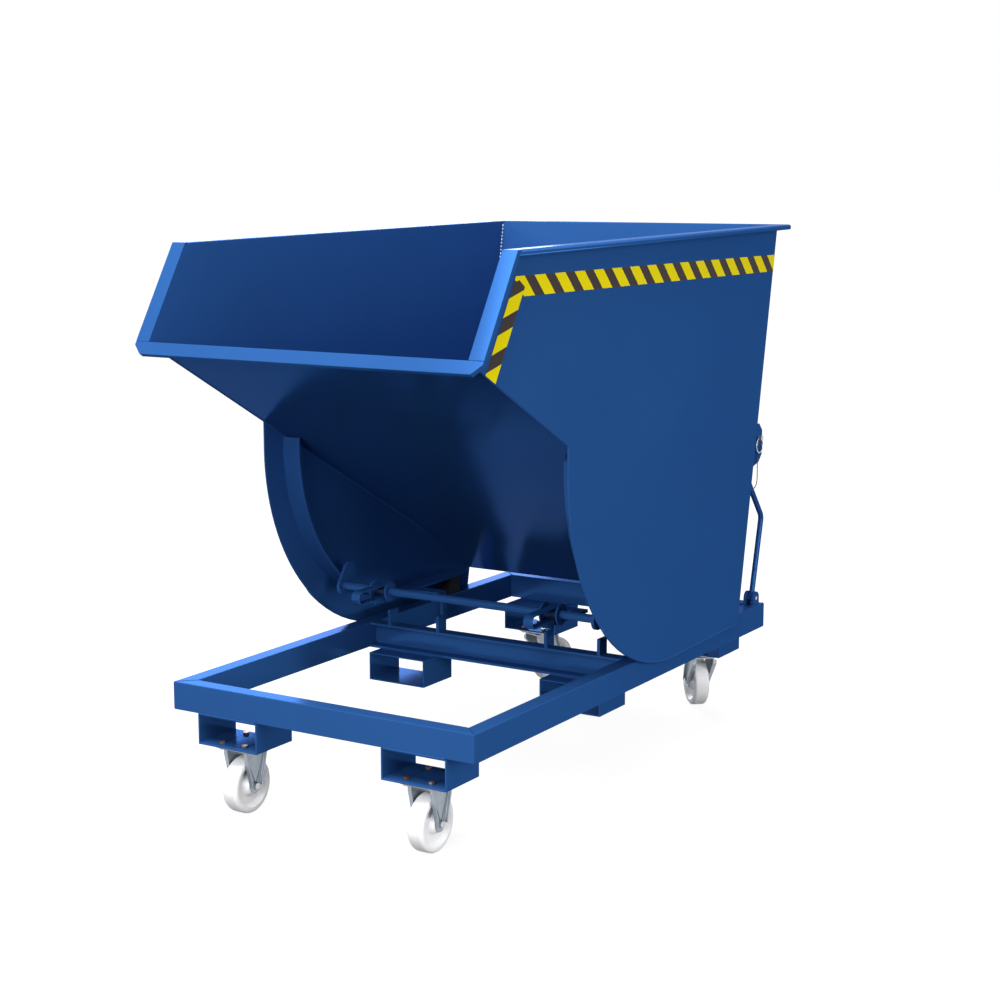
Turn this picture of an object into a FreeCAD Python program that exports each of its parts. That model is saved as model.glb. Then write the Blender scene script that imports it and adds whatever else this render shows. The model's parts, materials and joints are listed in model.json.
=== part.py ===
import FreeCAD, Part
import math
import os
from types import SimpleNamespace
import Sketcher

# Tipping skip trolley: a skip that tips over a cross shaft on a castored base frame.
# Millimetres, +Z up, Y from the discharge end (-Y) to the rear (+Y), origin on the floor under the middle.
# Heights of the skip and its fittings are counted from the top of the base frame, but the rim's top from
# the lip, the tape's top down from the rim's, the treads' top down from the floor, and the catch's foot and
# head from the locking pin.

SIZES = {
    # base frame of rectangular tube
    "frame_width": 1000, "frame_length": 1800, "rail_height": 80, "rail_width": 50, "rail_wall": 4,
    "middle_shift": 6.5,
    # cross channel, open to the front
    "channel_depth": 45, "channel_web": 6, "channel_flange": 8, "channel_ahead": 20,
    # fork pockets
    "pocket_width": 206, "pocket_height": 88, "pocket_length": 160, "pocket_wall": 5, "pocket_spacing": 620,
    # castors
    "castor_height": 200, "wheel_diameter": 160, "wheel_width": 50, "wheel_edge": 10, "wheel_rim": 17,
    "wheel_dish": 13, "hub_radius": 23, "hub_width": 56, "fork_plate": 4, "fork_gap": 1,
    "fork_top": 92, "fork_shoulder": 22, "fork_boss": 22, "fork_flange": 8, "fork_flange_drop": 10,
    "swivel_trail": 52, "swivel_race": 42,
    "race_height": 11, "king_pin": 8, "king_nut": 13, "king_nut_height": 8, "top_plate": 5,
    "top_plate_length": 140, "top_plate_width": 110, "top_plate_corner": 12,
    "bolt_length_pitch": 105, "bolt_width_pitch": 80, "bolt_radius": 5, "bolt_head": 9.2,
    "bolt_head_height": 6.5,
    "axle_sleeve": 10, "axle_radius": 6, "axle_head": 10.5, "axle_head_height": 8,
    "right_turn_angle": 42, "left_turn_angle": 18,
    # skip
    "plate_gap": 12, "plate_thickness": 4, "plate_drop": 30, "heel_drop": 20,
    "arc_radius": 630, "arc_centre": 175,
    "floor_angle": 28.4, "floor_thickness": 4, "floor_bend": 404, "tub_bottom": 53, "mouth_angle": 31.3,
    "lip_ahead": 947, "lip_height": 951, "wall_foot": 655, "wall_angle": 11, "wall_thickness": 4,
    "rim_top": 278, "rim_angle": 0.95, "rim_height": 16, "rim_width": 45, "rim_wall": 2.5,
    "rear_rim_width": 26,
    "band_height": 38, "band_corner": 28, "tread_inset": 86, "tread_width": 60, "tread_thickness": 8,
    "tread_top": 4, "tread_end": 560, "pad_length": 60, "pad_width": 40, "pad_inset": 40,
    # tipping shaft and its bearings
    "shaft_ahead": 160, "shaft_height": 146, "shaft_radius": 12.5, "bearing_offset": 300, "strap_width": 30,
    "strap_radius": 21, "strap_thickness": 5, "strap_reach": 123, "bush_inset": 3,
    "collar_radius": 31, "collar_thickness": 5, "collar_gap": 10, "lug_radius": 30, "lug_thickness": 10,
    "lug_length": 50,
    "post_thickness": 10, "post_height": 50, "post_inner": 194, "post_outer": 375, "post_leg": 20,
    "shelf_thickness": 10, "shelf_reach": 60,
    # latch lever and its ears
    "lever_inset": 25, "lever_foot": 849, "lever_foot_height": 24, "lever_bar": 9, "lever_eye": 14,
    "lever_eye_width": 19, "lever_back": 915, "lever_back_height": 288, "lever_knee": 798,
    "lever_knee_height": 425, "lever_tip_height": 515, "lever_bend": 30, "lever_pin": 6,
    "ear_thickness": 8, "ear_gap": 1, "ear_radius": 22,
    # catch, locking pin, ring and lanyard
    "catch_plate": 6, "catch_gap": 3, "catch_foot": 105, "catch_head": 45, "catch_reach": 868,
    "catch_corner": 24,
    "pin_radius": 6, "pin_height": 560, "pin_behind": 828, "pin_head": 9, "pin_head_length": 18,
    "pin_tail": 4,
    "ring_radius": 24, "ring_wire": 2, "ring_hole": 4.2,
    "tab_height": 392, "tab_size": 22, "tab_thickness": 4, "lanyard_radius": 1.5,
    # hazard tape
    "tape_width": 52, "tape_thickness": 0.4, "tape_top": 81, "tape_setback": 85,
    # fits
    "running_fit": 0.05, "free_gap": 0.3, "hole_gap": 0.1, "overrun": 1,
}

# Route of the wire lanyard, from the tab on the rear wall to the underside of the pin's head
LANYARD_ROUTE = [
    (494.0, 747.0, 771.0), (503.0, 747.0, 771.0), (511.0, 756.0, 769.5), (513.5, 771.0, 773.0),
    (512.0, 787.0, 782.5), (508.0, 801.0, 797.0), (503.0, 812.0, 816.0), (499.0, 820.0, 838.0),
    (497.0, 825.5, 862.0), (496.5, 828.0, 891.5), (496.5, 828.0, 919.0),
]
ARC_RUN_SHARE = 0.45

doc = FreeCAD.newDocument("tipping_skip_trolley")
sheet = doc.addObject("Spreadsheet::Sheet", "Sizes")
for row, (alias, number) in enumerate(SIZES.items(), start=1):
    sheet.set(f"A{row}", alias)
    sheet.set(f"B{row}", str(number))
    sheet.setAlias(f"B{row}", alias)
doc.recompute()


class Size:
    """A length that knows its number and the sheet expression it comes from."""

    def __init__(self, value, text):
        self.value = value
        self.text = text

    def __add__(self, other):
        other = sized(other)
        return Size(self.value + other.value, f"({self.text} + {other.text})")

    def __sub__(self, other):
        other = sized(other)
        return Size(self.value - other.value, f"({self.text} - {other.text})")

    def __mul__(self, other):
        other = sized(other)
        return Size(self.value * other.value, f"({self.text} * {other.text})")

    def __truediv__(self, other):
        other = sized(other)
        return Size(self.value / other.value, f"({self.text} / {other.text})")

    def __neg__(self):
        return Size(-self.value, f"(-1 * {self.text})")


def sized(number):
    return number if isinstance(number, Size) else Size(float(number), repr(float(number)))


def sine(angle):
    return Size(math.sin(math.radians(angle.value)), f"sin({angle.text} * 1 deg)")


def cosine(angle):
    return Size(math.cos(math.radians(angle.value)), f"cos({angle.text} * 1 deg)")


def tangent(angle):
    return Size(math.tan(math.radians(angle.value)), f"tan({angle.text} * 1 deg)")


d = SimpleNamespace(**{alias: Size(float(sheet.get(alias)), f"Sizes.{alias}") for alias in SIZES})
ZERO = sized(0)
SIDES = (("left", -1), ("right", 1))
parts = {}


def new_body(name):
    """A sub-part; a set of like pieces shares one body as separate solids."""
    body = doc.addObject("PartDesign::Body", name)
    body.Label = name
    body.AllowCompound = True
    parts[name] = body
    return body


def bind(target, path, size):
    target.setExpression(path, sized(size).text)


def place(thing, x=ZERO, y=ZERO, z=ZERO, axis=None, angle=ZERO):
    """Put a sub-part at a place in the frame, turned about one axis."""
    x, y, z, angle = sized(x), sized(y) + d.middle_shift, sized(z), sized(angle)
    turn = FreeCAD.Rotation(FreeCAD.Vector(*(axis or (0, 0, 1))), angle.value)
    thing.Placement = FreeCAD.Placement(FreeCAD.Vector(x.value, y.value, z.value), turn)
    bind(thing, "Placement.Base.x", x)
    bind(thing, "Placement.Base.y", y)
    bind(thing, "Placement.Base.z", z)
    if axis:
        bind(thing, "Placement.Rotation.Angle", angle)


def hold(sketch, kind, curve, point, size):
    """Fix one coordinate of a sketch point, or a radius, to a sheet expression."""
    size = sized(size)
    if kind == "Radius":
        index = sketch.addConstraint(Sketcher.Constraint(kind, curve, size.value))
    else:
        index = sketch.addConstraint(Sketcher.Constraint(kind, -1, 1, curve, point, size.value))
    sketch.setExpression(f"Constraints[{index}]", size.text)


def draw_circle(sketch, centre_u, centre_v, radius):
    middle = FreeCAD.Vector(sized(centre_u).value, sized(centre_v).value, 0)
    curve = sketch.addGeometry(Part.Circle(middle, FreeCAD.Vector(0, 0, 1), radius.value), False)
    hold(sketch, "DistanceX", curve, 3, centre_u)
    hold(sketch, "DistanceY", curve, 3, centre_v)
    hold(sketch, "Radius", curve, 0, radius)


def arc_between(start, end, radius, bulge):
    """The short arc from start to end; bulge +1 turns counter-clockwise, -1 clockwise."""
    chord = end - start
    sideways = FreeCAD.Vector(-chord.y, chord.x, 0).normalize()
    depth = math.sqrt(max(radius * radius - chord.Length ** 2 / 4, 0))
    middle = (start + end) / 2 + sideways * (depth * bulge)
    first, last = (start, end) if bulge > 0 else (end, start)
    circle = Part.Circle(middle, FreeCAD.Vector(0, 0, 1), radius)
    return Part.ArcOfCircle(circle, circle.parameter(first), circle.parameter(last))


def draw_outline(sketch, corners):
    """Closed lines and arcs; a corner (u, v, radius, bulge) ends an arc, a corner (u, v) ends a line."""
    points = [(sized(corner[0]), sized(corner[1])) for corner in corners]
    vectors = [FreeCAD.Vector(u.value, v.value, 0) for u, v in points]
    ends = []
    for i, corner in enumerate(corners):
        start, end = vectors[i - 1], vectors[i]
        if len(corner) == 4:
            radius, bulge = sized(corner[2]), corner[3]
            curve = sketch.addGeometry(arc_between(start, end, radius.value, bulge), False)
            hold(sketch, "Radius", curve, 0, radius)
            first, last = (1, 2) if bulge > 0 else (2, 1)
        else:
            curve = sketch.addGeometry(Part.LineSegment(start, end), False)
            first, last = 1, 2
        hold(sketch, "DistanceX", curve, last, points[i][0])
        hold(sketch, "DistanceY", curve, last, points[i][1])
        ends.append((curve, first, last))
    for before, after in zip([ends[-1]] + ends, ends):
        sketch.addConstraint(Sketcher.Constraint("Coincident", before[0], before[2], after[0], after[1]))


def new_sketch(body, plane, level=ZERO):
    """A sketch on one of the body's own planes, moved along that plane's normal."""
    sketch = body.newObject("Sketcher::SketchObject", f"{body.Label}_sketch")
    support = [f for f in body.Origin.OriginFeatures if f.Role == plane + "_Plane"][0]
    sketch.AttachmentSupport = [(support, "")]
    sketch.MapMode = "FlatFace"
    bind(sketch, "AttachmentOffset.Base.z", level)
    return sketch


def feature(body, kind, plane, low, high, outlines, circles):
    """A pad or pocket of outlines on a plane, between two places along the plane's axis."""
    low, high = sized(low), sized(high)
    level = -high if plane == "XZ" else low
    sketch = new_sketch(body, plane, level)
    for outline in outlines:
        draw_outline(sketch, outline)
    for circle in circles:
        draw_circle(sketch, *circle)
    made = body.newObject(f"PartDesign::{kind}", f"{body.Label}_{kind.lower()}")
    made.Profile = sketch
    bind(made, "Length", high - low)
    made.Reversed = kind == "Pocket"
    doc.recompute()


def pad(body, plane, low, high, outlines=(), circles=()):
    feature(body, "Pad", plane, low, high, outlines, circles)


def cut(body, plane, low, high, outlines=(), circles=()):
    """A pocket that has to take material away."""
    before = body.Shape.Volume
    feature(body, "Pocket", plane, low, high, outlines, circles)
    if body.Shape.Volume >= before:
        raise RuntimeError(f"{body.Label}: a cut took nothing away")


def revolve(body, outline):
    """A full turn about X of an outline drawn as (along X, radius)."""
    sketch = new_sketch(body, "XY")
    draw_outline(sketch, outline)
    turn = body.newObject("PartDesign::Revolution", f"{body.Label}_revolution")
    turn.Profile = sketch
    turn.ReferenceAxis = (sketch, ["H_Axis"])
    doc.recompute()


def rectangle(u_low, v_low, u_high, v_high):
    return [(u_low, v_low), (u_high, v_low), (u_high, v_high), (u_low, v_high)]


def rounded(u_half, v_half, radius):
    """A rectangle about the origin with round corners."""
    u_in, v_in = u_half - radius, v_half - radius
    return [
        (u_in, -v_half), (u_half, -v_in, radius, 1), (u_half, v_in), (u_in, v_half, radius, 1),
        (-u_in, v_half), (-u_half, v_in, radius, 1), (-u_half, -v_in), (-u_in, -v_half, radius, 1)]


def oblong(reach, radius):
    """A long round-ended loop, from a half circle about the origin to one at -reach."""
    return [
        (ZERO, -radius), (radius, ZERO, radius, 1), (ZERO, radius, radius, 1),
        (-reach, radius), (-reach - radius, ZERO, radius, 1), (-reach, -radius, radius, 1)]


def hexagon(radius, u=ZERO, v=ZERO):
    turns = [k * math.pi / 3 for k in range(6)]
    return [(u + radius * math.cos(turn), v + radius * math.sin(turn)) for turn in turns]


def to_side(sign, near, far):
    """A stretch of X on the right, or its mirror image on the left, in rising order."""
    return (near, far) if sign > 0 else (-far, -near)


# Levels and planes that many pieces share
rail_foot = d.castor_height + d.pocket_height
rail_top = rail_foot + d.rail_height
half_width = d.frame_width / 2
half_length = d.frame_length / 2
plate_inner = half_width + d.plate_gap
plate_outer = plate_inner + d.plate_thickness
pocket_middle = d.pocket_spacing / 2
castor_y = half_length - d.pocket_length / 2


def rail(name, half, turn, x, y):
    """A mitred tube along its own X with its outer face at Y zero; half is the outer half length."""
    body = new_body(name)
    inner_half = half - d.rail_width
    pad(body, "XY", rail_foot, rail_top, [
        [(-half, ZERO), (half, ZERO), (inner_half, d.rail_width), (-inner_half, d.rail_width)]])
    bore_out = half - d.rail_wall
    bore_in = inner_half + d.rail_wall
    inner_side = d.rail_width - d.rail_wall
    cut(body, "XY", rail_foot + d.rail_wall, rail_top - d.rail_wall, [
        [(-bore_out, d.rail_wall), (bore_out, d.rail_wall), (bore_in, inner_side), (-bore_in, inner_side)]])
    place(body, x, y, ZERO, (0, 0, 1), turn)


rail("front_rail", half_width, 0, ZERO, -half_length)
rail("right_rail", half_length, 90, half_width, ZERO)
rail("rear_rail", half_width, 180, ZERO, half_length)
rail("left_rail", half_length, 270, -half_width, ZERO)

# Cross channel between the side rails, its open side to the front
channel = new_body("cross_channel")
channel_front = -d.channel_ahead
channel_back = channel_front + d.channel_depth
channel_half = half_width - d.rail_width
web_front = channel_back - d.channel_web
flange_low, flange_high = rail_foot + d.channel_flange, rail_top - d.channel_flange
pad(channel, "YZ", -channel_half, channel_half, [[
    (channel_front, rail_foot), (channel_back, rail_foot), (channel_back, rail_top),
    (channel_front, rail_top), (channel_front, flange_high), (web_front, flange_high),
    (web_front, flange_low), (channel_front, flange_low)]])
place(channel)

BOLT_CORNERS = [(u, v) for u in (-1, 1) for v in (-1, 1)]
bolt_hole = d.bolt_radius + d.hole_gap


def bolt_places(x=ZERO, y=ZERO):
    """The four bolt places of a castor plate about a point."""
    return [(x + d.bolt_width_pitch / 2 * u, y + d.bolt_length_pitch / 2 * v) for u, v in BOLT_CORNERS]


def fork_pocket(name, x, y, holes):
    """A short tube for one fork arm; the end ones carry a castor under their floor."""
    body = new_body(name)
    half, inside = d.pocket_width / 2, d.pocket_width / 2 - d.pocket_wall
    top, low = rail_foot - d.pocket_wall, d.castor_height + d.pocket_wall
    pad(body, "XZ", -d.pocket_length / 2, d.pocket_length / 2, [
        rectangle(-half, d.castor_height, half, rail_foot), rectangle(-inside, low, inside, top)])
    if holes:
        cut(body, "XY", d.castor_height - d.overrun, low + d.overrun,
            circles=[(u, v, bolt_hole) for u, v in bolt_places()])
    place(body, x, y)


channel_middle = (channel_front + channel_back) / 2
pocket_rows = (("front", -castor_y, True), ("middle", channel_middle, False), ("rear", castor_y, True))
for end, y, holes in pocket_rows:
    for side, sign in SIDES:
        fork_pocket(f"{end}_{side}_pocket", pocket_middle * sign, y, holes)

# Castors, each drawn about its own plate with its wheel on the floor
wheel_radius = d.wheel_diameter / 2
leg_inner = d.hub_width / 2 + d.fork_gap
leg_outer = leg_inner + d.fork_plate
plate_foot = d.castor_height - d.top_plate
race_foot = plate_foot - d.race_height
crown_top = race_foot - d.free_gap
crown_foot = crown_top - d.fork_plate


def castor_plate(body):
    pad(body, "XY", plate_foot, d.castor_height, [
        rounded(d.top_plate_width / 2, d.top_plate_length / 2, d.top_plate_corner)],
        [(u, v, bolt_hole) for u, v in bolt_places()])


def castor_legs(body, top, trail):
    """Pressed fork: wide at the crown, tapering to a round boss at the axle, its edges turned outwards."""
    half, boss = d.fork_top / 2, d.fork_boss
    shoulder = top - d.fork_shoulder
    pad(body, "YZ", -leg_outer, leg_outer, [[
        (half, top), (-half, top), (-half, shoulder), (trail - boss, wheel_radius),
        (trail, wheel_radius - boss, boss, 1), (trail + boss, wheel_radius, boss, 1), (half, shoulder)]])
    cut(body, "XZ", -half - d.overrun, trail + half + d.overrun, [
        rectangle(-leg_inner, wheel_radius - boss - d.overrun, leg_inner, top - d.fork_plate)])
    cut(body, "YZ", -leg_outer - d.overrun, leg_outer + d.overrun,
        circles=[(trail, wheel_radius, d.axle_radius + d.hole_gap)])
    thick, flange_top = d.fork_plate, top - d.fork_flange_drop
    for sign in (-1, 1):
        pad(body, "YZ", *to_side(sign, leg_outer, leg_outer + d.fork_flange), [
            [(-half, flange_top), (-half, shoulder), (trail - boss, wheel_radius),
             (trail - boss + thick, wheel_radius), (-half + thick, shoulder), (-half + thick, flange_top)],
            [(half, flange_top), (half - thick, flange_top), (half - thick, shoulder),
             (trail + boss - thick, wheel_radius), (trail + boss, wheel_radius), (half, shoulder)]])


def castor_wheel(name):
    """Polyamide wheel with dished faces and a hub that stands proud."""
    body = new_body(name)
    half, hub, edge = d.wheel_width / 2, d.hub_width / 2, d.wheel_edge
    shoulder, rim = wheel_radius - edge, wheel_radius - d.wheel_rim
    web = half - d.wheel_dish
    bore = d.axle_sleeve + d.running_fit
    revolve(body, [
        (-hub, bore), (hub, bore), (hub, d.hub_radius), (web, d.hub_radius + edge), (web, rim - edge),
        (half, rim), (half, shoulder), (half - edge, wheel_radius, edge, 1), (-half + edge, wheel_radius),
        (-half, shoulder, edge, 1), (-half, rim), (-web, rim - edge), (-web, d.hub_radius + edge),
        (-hub, d.hub_radius)])
    return body


def axle(body, x=ZERO):
    """Bolt with its head and nut, and the sleeve that the wheel turns on."""
    reach = leg_outer + d.axle_head_height
    pad(body, "YZ", x - leg_inner, x + leg_inner, circles=[(ZERO, ZERO, d.axle_sleeve)])
    pad(body, "YZ", x - reach, x + reach, circles=[(ZERO, ZERO, d.axle_radius)])
    pad(body, "YZ", x + leg_outer, x + reach, [hexagon(d.axle_head)])
    pad(body, "YZ", x - reach, x - leg_outer, [hexagon(d.axle_head)])


front_axles = new_body("front_axles")
for side, sign in SIDES:
    x = pocket_middle * sign
    fork = new_body(f"front_{side}_fork")
    castor_plate(fork)
    castor_legs(fork, plate_foot, ZERO)
    place(fork, x, -castor_y)
    place(castor_wheel(f"front_{side}_wheel"), x, -castor_y, wheel_radius)
    axle(front_axles, x)
place(front_axles, ZERO, -castor_y, wheel_radius)

king_pins = new_body("king_pins")
nut_top = crown_foot - d.free_gap
nut_foot = nut_top - d.king_nut_height
for side, sign in SIDES:
    x, turn = pocket_middle * sign, d.right_turn_angle if sign > 0 else -d.left_turn_angle
    plate = new_body(f"rear_{side}_top_plate")
    castor_plate(plate)
    pad(plate, "XY", race_foot, plate_foot, circles=[(ZERO, ZERO, d.swivel_race)])
    cut(plate, "XY", race_foot - d.overrun, d.castor_height + d.overrun,
        circles=[(ZERO, ZERO, d.king_pin + d.hole_gap)])
    place(plate, x, castor_y)
    fork = new_body(f"rear_{side}_fork")
    castor_legs(fork, crown_top, d.swivel_trail)
    pad(fork, "XY", crown_foot, crown_top, circles=[(ZERO, ZERO, d.swivel_race)])
    cut(fork, "XY", crown_foot - d.overrun, crown_top + d.overrun,
        circles=[(ZERO, ZERO, d.king_pin + d.running_fit)])
    place(fork, x, castor_y, ZERO, (0, 0, 1), turn)
    pad(king_pins, "XY", nut_foot, d.castor_height, circles=[(x, ZERO, d.king_pin)])
    pad(king_pins, "XY", nut_foot, nut_top, [hexagon(d.king_nut, x)])
    wheel_x = x - sine(turn) * d.swivel_trail
    wheel_y = castor_y + cosine(turn) * d.swivel_trail
    place(castor_wheel(f"rear_{side}_wheel"), wheel_x, wheel_y, wheel_radius, (0, 0, 1), turn)
    rear_axle = new_body(f"rear_{side}_axle")
    axle(rear_axle)
    place(rear_axle, wheel_x, wheel_y, wheel_radius, (0, 0, 1), turn)
place(king_pins, ZERO, castor_y)

# Castor plate bolts: heads on the pocket floors, nuts under the plates
bolts = new_body("castor_bolts")
seat = d.castor_height + d.pocket_wall
bolt_spots = [spot for side, sign in SIDES for end in (-1, 1)
              for spot in bolt_places(pocket_middle * sign, castor_y * end)]
nuts_foot = plate_foot - d.bolt_head_height
pad(bolts, "XY", nuts_foot, seat, circles=[(u, v, d.bolt_radius) for u, v in bolt_spots])
for level in (seat, nuts_foot):
    pad(bolts, "XY", level, level + d.bolt_head_height, [hexagon(d.bolt_head, u, v) for u, v in bolt_spots])
place(bolts)

# Edges of the skip in the YZ plane
lip_y, lip_z = -d.lip_ahead, rail_top + d.lip_height
heel_z = rail_top - d.heel_drop
arc_foot = rail_top - d.plate_drop
arc_z = arc_foot + d.arc_radius
nose_y = d.arc_centre - d.arc_radius
lean, band = d.mouth_angle, d.rim_height
skew = cosine(lean - d.floor_angle)
band_run = band / cosine(lean)
wall_run = d.wall_thickness / cosine(d.wall_angle)
front_y = lip_y + cosine(d.floor_angle) * band / skew
front_z = lip_z - sine(d.floor_angle) * band / skew
crest = lip_z + d.rim_top
shelf_under_rim = crest - d.rim_height / cosine(d.rim_angle)


def floor_z(y):
    return lip_z - (y - lip_y) * tangent(d.floor_angle)


def mouth_y(z):
    return lip_y + (z - lip_z) * tangent(lean)


def wall_y(z):
    return d.wall_foot + (z - heel_z) * tangent(d.wall_angle)


def along_rim(y, level):
    """A point on a line along the sloping rim; level is the line's height at mid length."""
    return y, level + y * tangent(d.rim_angle)


def meet_rim(foot_y, foot_z, back_lean, level):
    """Where an edge that leans back from its foot meets a line along the rim."""
    back = tangent(back_lean)
    y = (foot_y + (level - foot_z) * back) / (sized(1) - back * tangent(d.rim_angle))
    return along_rim(y, level)


mouth_back = lip_y + band_run
rear_rim_front = meet_rim(d.wall_foot - wall_run, heel_z, d.wall_angle, shelf_under_rim)[0]
rear_rim_back = rear_rim_front + d.rear_rim_width
rim_outer = plate_inner + d.rim_width
edge_up = d.floor_thickness / skew

for side, sign in SIDES:
    plate = new_body(f"{side}_side_plate")
    pad(plate, "YZ", *to_side(sign, plate_inner, plate_outer), [[
        (front_y, front_z), (nose_y, floor_z(nose_y)), (nose_y, arc_z),
        (d.arc_centre, arc_foot, d.arc_radius, 1), (d.wall_foot, heel_z),
        meet_rim(d.wall_foot, heel_z, d.wall_angle, shelf_under_rim),
        meet_rim(mouth_back, lip_z, lean, shelf_under_rim)]])
    place(plate)

# Floor sheet from the lip down to the foot of the rear wall, with one shallow bend
floor = new_body("floor_sheet")
floor_rise = d.floor_thickness / cosine(d.floor_angle)
bottom_z = rail_top + d.tub_bottom
bend_z = floor_z(d.floor_bend)
pad(floor, "YZ", -plate_inner, plate_inner, [[
    (front_y, front_z), (d.floor_bend, bend_z), (wall_y(bottom_z) - wall_run, bottom_z),
    (wall_y(bottom_z + floor_rise) - wall_run, bottom_z + floor_rise), (d.floor_bend, bend_z + floor_rise),
    (front_y + sine(lean) * edge_up, front_z + cosine(lean) * edge_up)]])
place(floor)

wall = new_body("rear_wall")
pad(wall, "YZ", -plate_inner, plate_inner, [[
    (wall_y(bottom_z) - wall_run, bottom_z), (wall_y(bottom_z), bottom_z),
    meet_rim(d.wall_foot, heel_z, d.wall_angle, shelf_under_rim),
    meet_rim(d.wall_foot - wall_run, heel_z, d.wall_angle, shelf_under_rim)]])
place(wall)

# Rim tubes along the top, and the band round the mouth
bore_low, bore_high = shelf_under_rim + d.rim_wall, crest - d.rim_wall
for side, sign in SIDES:
    rim = new_body(f"{side}_rim")
    pad(rim, "YZ", *to_side(sign, plate_inner, rim_outer), [[
        meet_rim(mouth_back, lip_z, lean, shelf_under_rim), along_rim(rear_rim_back, shelf_under_rim),
        along_rim(rear_rim_back, crest), meet_rim(mouth_back, lip_z, lean, crest)]])
    bore_back = rear_rim_back - d.rim_wall
    cut(rim, "YZ", *to_side(sign, plate_inner + d.rim_wall, rim_outer - d.rim_wall), [[
        meet_rim(lip_y, lip_z, lean, bore_low), along_rim(bore_back, bore_low),
        along_rim(bore_back, bore_high), meet_rim(lip_y, lip_z, lean, bore_high)]])
    place(rim)
    jamb = new_body(f"{side}_mouth_band")
    foot_y, foot_z = lip_y + sine(lean) * edge_up, lip_z + cosine(lean) * edge_up
    pad(jamb, "YZ", *to_side(sign, plate_inner, rim_outer), [[
        (foot_y, foot_z), (foot_y + cosine(lean) * band, foot_z - sine(lean) * band),
        meet_rim(mouth_back, lip_z, lean, crest), meet_rim(lip_y, lip_z, lean, crest)]])
    place(jamb)

rear_rim = new_body("rear_rim")
bore_front, bore_back = rear_rim_front + d.rim_wall, rear_rim_back - d.rim_wall
pad(rear_rim, "YZ", -plate_inner, plate_inner, [
    [along_rim(rear_rim_front, shelf_under_rim), along_rim(rear_rim_back, shelf_under_rim),
     along_rim(rear_rim_back, crest), along_rim(rear_rim_front, crest)],
    [along_rim(bore_front, bore_low), along_rim(bore_back, bore_low),
     along_rim(bore_back, bore_high), along_rim(bore_front, bore_high)]])
place(rear_rim)

# Band under the lip, drawn flat in the plane of the mouth, its lower corners clipped
lip_band = new_body("lip_band")
drop = d.band_height - edge_up
corner_in, corner_up = rim_outer - d.band_corner, d.band_corner - drop
pad(lip_band, "XY", -band, ZERO, [[
    (-corner_in, -drop), (corner_in, -drop), (rim_outer, corner_up), (rim_outer, edge_up),
    (-rim_outer, edge_up), (-rim_outer, corner_up)]])
place(lip_band, ZERO, lip_y, lip_z, (1, 0, 0), sized(90) - lean)

# Curved flat bars inside the side plates, and the pads on the rails that they come to rest on
tread_radius = d.arc_radius - d.tread_inset
tread_inner = tread_radius - d.tread_thickness
tread_foot = arc_z - tread_radius
tread_head = floor_z(d.arc_centre - tread_inner) - d.tread_top
tread_edge = plate_inner - d.tread_width
pads = new_body("rest_pads")
for side, sign in SIDES:
    tread = new_body(f"{side}_tread")
    pad(tread, "YZ", *to_side(sign, tread_edge, plate_inner), [[
        (d.arc_centre - tread_radius, tread_head), (d.arc_centre - tread_radius, arc_z),
        (d.arc_centre, tread_foot, tread_radius, 1), (d.tread_end, tread_foot),
        (d.tread_end, tread_foot + d.tread_thickness), (d.arc_centre, tread_foot + d.tread_thickness),
        (d.arc_centre - tread_inner, arc_z, tread_inner, -1), (d.arc_centre - tread_inner, tread_head)]])
    place(tread)
    pad_x = half_width - d.rail_width / 2
    pad_back = d.tread_end - d.pad_inset
    pad(pads, "YZ", *to_side(sign, pad_x - d.pad_width / 2, pad_x + d.pad_width / 2), [
        rectangle(pad_back - d.pad_length, rail_top, pad_back, tread_foot - d.free_gap)])
place(pads)

# Tipping shaft across the skip, with its lugs and collars, and the bearings that carry it
shaft_y, shaft_z = -d.shaft_ahead, rail_top + d.shaft_height
shaft_bore = d.shaft_radius + d.running_fit
lug_inner = tread_edge - d.lug_thickness
shaft = new_body("tipping_shaft")
pad(shaft, "YZ", -tread_edge, tread_edge, circles=[(ZERO, ZERO, d.shaft_radius)])
place(shaft, ZERO, shaft_y, shaft_z)

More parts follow.
